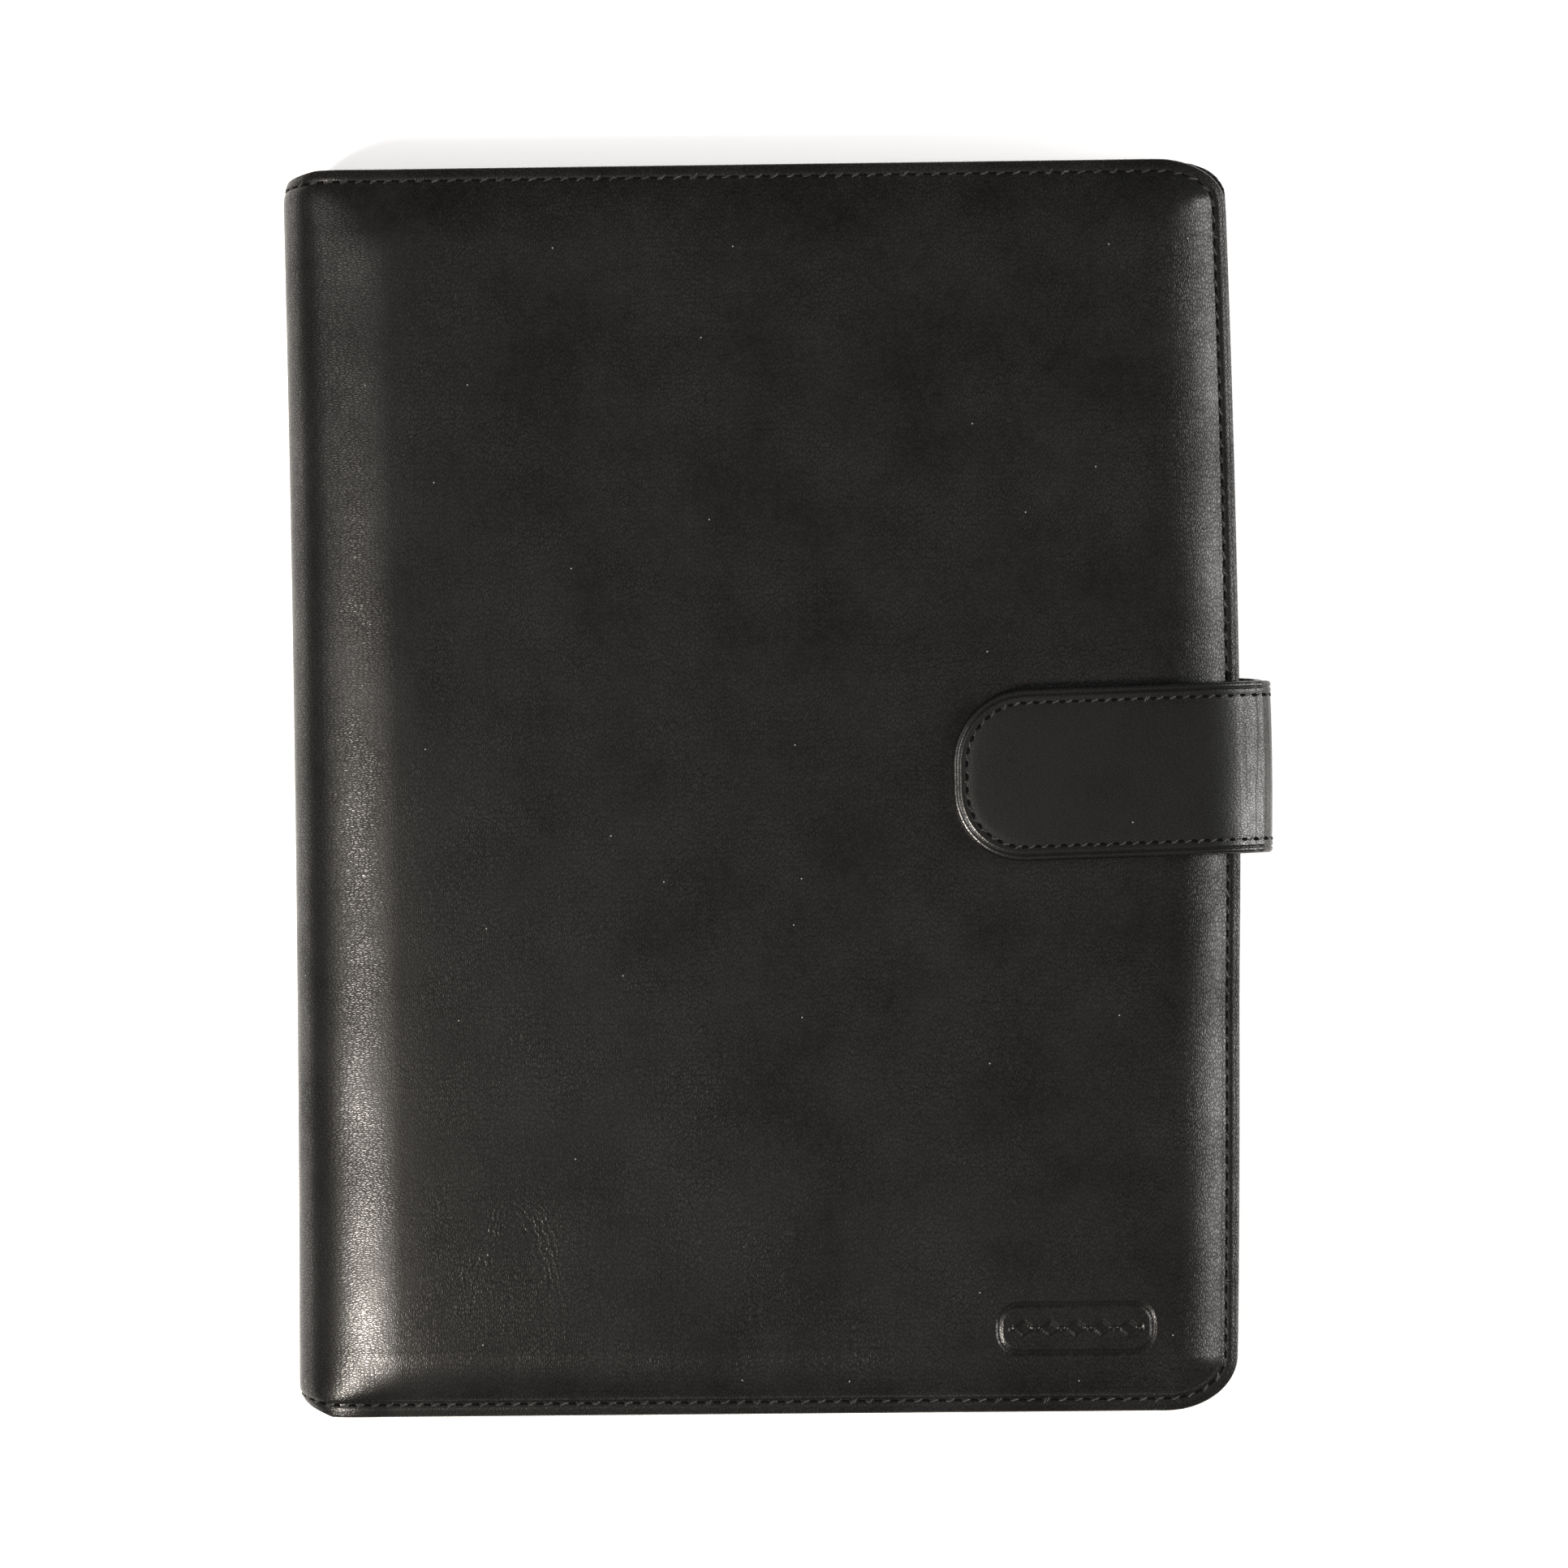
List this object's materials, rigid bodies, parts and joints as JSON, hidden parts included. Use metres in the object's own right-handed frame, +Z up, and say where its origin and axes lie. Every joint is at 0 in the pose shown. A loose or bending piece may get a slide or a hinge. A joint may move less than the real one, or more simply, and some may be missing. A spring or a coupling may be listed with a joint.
{
  "type": "leather notebook cover",
  "caption": "Padded leather notebook cover with a rounded spine, a wrap-round snap strap, inner pockets and a sleeve that holds a paper pad.",
  "frame": {"origin": "centre of the overall outline, on the back cover's underside", "axes": "+X towards the fore-edge and the strap, +Y towards the head, +Z up out of the front cover; the cover is shut and lies on its back"},
  "size_m": [0.1796, 0.23, 0.0275],
  "materials": {
    "outer_leather": "satin",
    "strap_leather": "satin",
    "lining_leather": "matte",
    "pocket_leather": "satin",
    "thread": "matte",
    "foam": "matte",
    "stiff_board": "matte",
    "stiffener": "matte",
    "grey_board": "matte",
    "pages": "matte",
    "binding_cloth": "matte",
    "snap_metal": "satin"
  },
  "bodies": {
    "back_cover": {"back_outer_leather": "outer_leather", "back_foam": "foam", "back_board": "stiff_board", "back_lining": "lining_leather", "back_stitching": "thread", "pad_sleeve": "pocket_leather", "sleeve_stitching": "thread", "pad_backing_board": "grey_board", "pad_pages": "pages", "pad_binding": "binding_cloth", "strap_anchor": "strap_leather"},
    "spine": {"spine_outer_leather": "outer_leather", "spine_foam": "foam", "spine_lining": "lining_leather", "spine_stitching": "thread"},
    "front_cover": {"front_outer_leather": "outer_leather", "front_foam": "foam", "front_board": "stiff_board", "front_lining": "lining_leather", "front_stitching": "thread", "slip_pocket": "pocket_leather", "card_pocket_1": "pocket_leather", "card_pocket_2": "pocket_leather", "card_pocket_3": "pocket_leather", "snap_socket": "snap_metal"},
    "strap_side": {"strap_side_leather": "strap_leather", "strap_side_lining": "lining_leather", "strap_side_stitching": "thread"},
    "strap_tab": {"strap_tab_leather": "strap_leather", "strap_tab_core": "stiffener", "strap_tab_lining": "lining_leather", "strap_tab_stitching": "thread", "snap_stud": "snap_metal"}
  },
  "joints": [
    {"name": "cover_fold", "type": "hinge", "parent": "spine", "child": "front_cover", "pos_m": [-0.08659, 0, 0.02075], "axis": [0, -1, 0], "range_deg": [0, 90]},
    {"name": "spine_fold", "type": "hinge", "parent": "back_cover", "child": "spine", "pos_m": [-0.08659, 0, 0.00325], "axis": [0, -1, 0], "range_deg": [0, 90]},
    {"name": "strap_foot_bend", "type": "hinge", "parent": "back_cover", "child": "strap_side", "pos_m": [0.08808, 0.002, 0.00643], "axis": [0, 1, 0], "range_deg": [0, 90]},
    {"name": "strap_tab_bend", "type": "hinge", "parent": "strap_side", "child": "strap_tab", "pos_m": [0.08726, 0.002, 0.0249], "axis": [0, 1, 0], "range_deg": [0, 90], "deforming": ["strap_tab_leather", "strap_tab_core", "strap_tab_lining", "strap_tab_stitching", "snap_stud"]}
  ],
  "couplings": [
    {"joint": "spine_fold", "follows": "cover_fold", "ratio": 1}
  ]
}
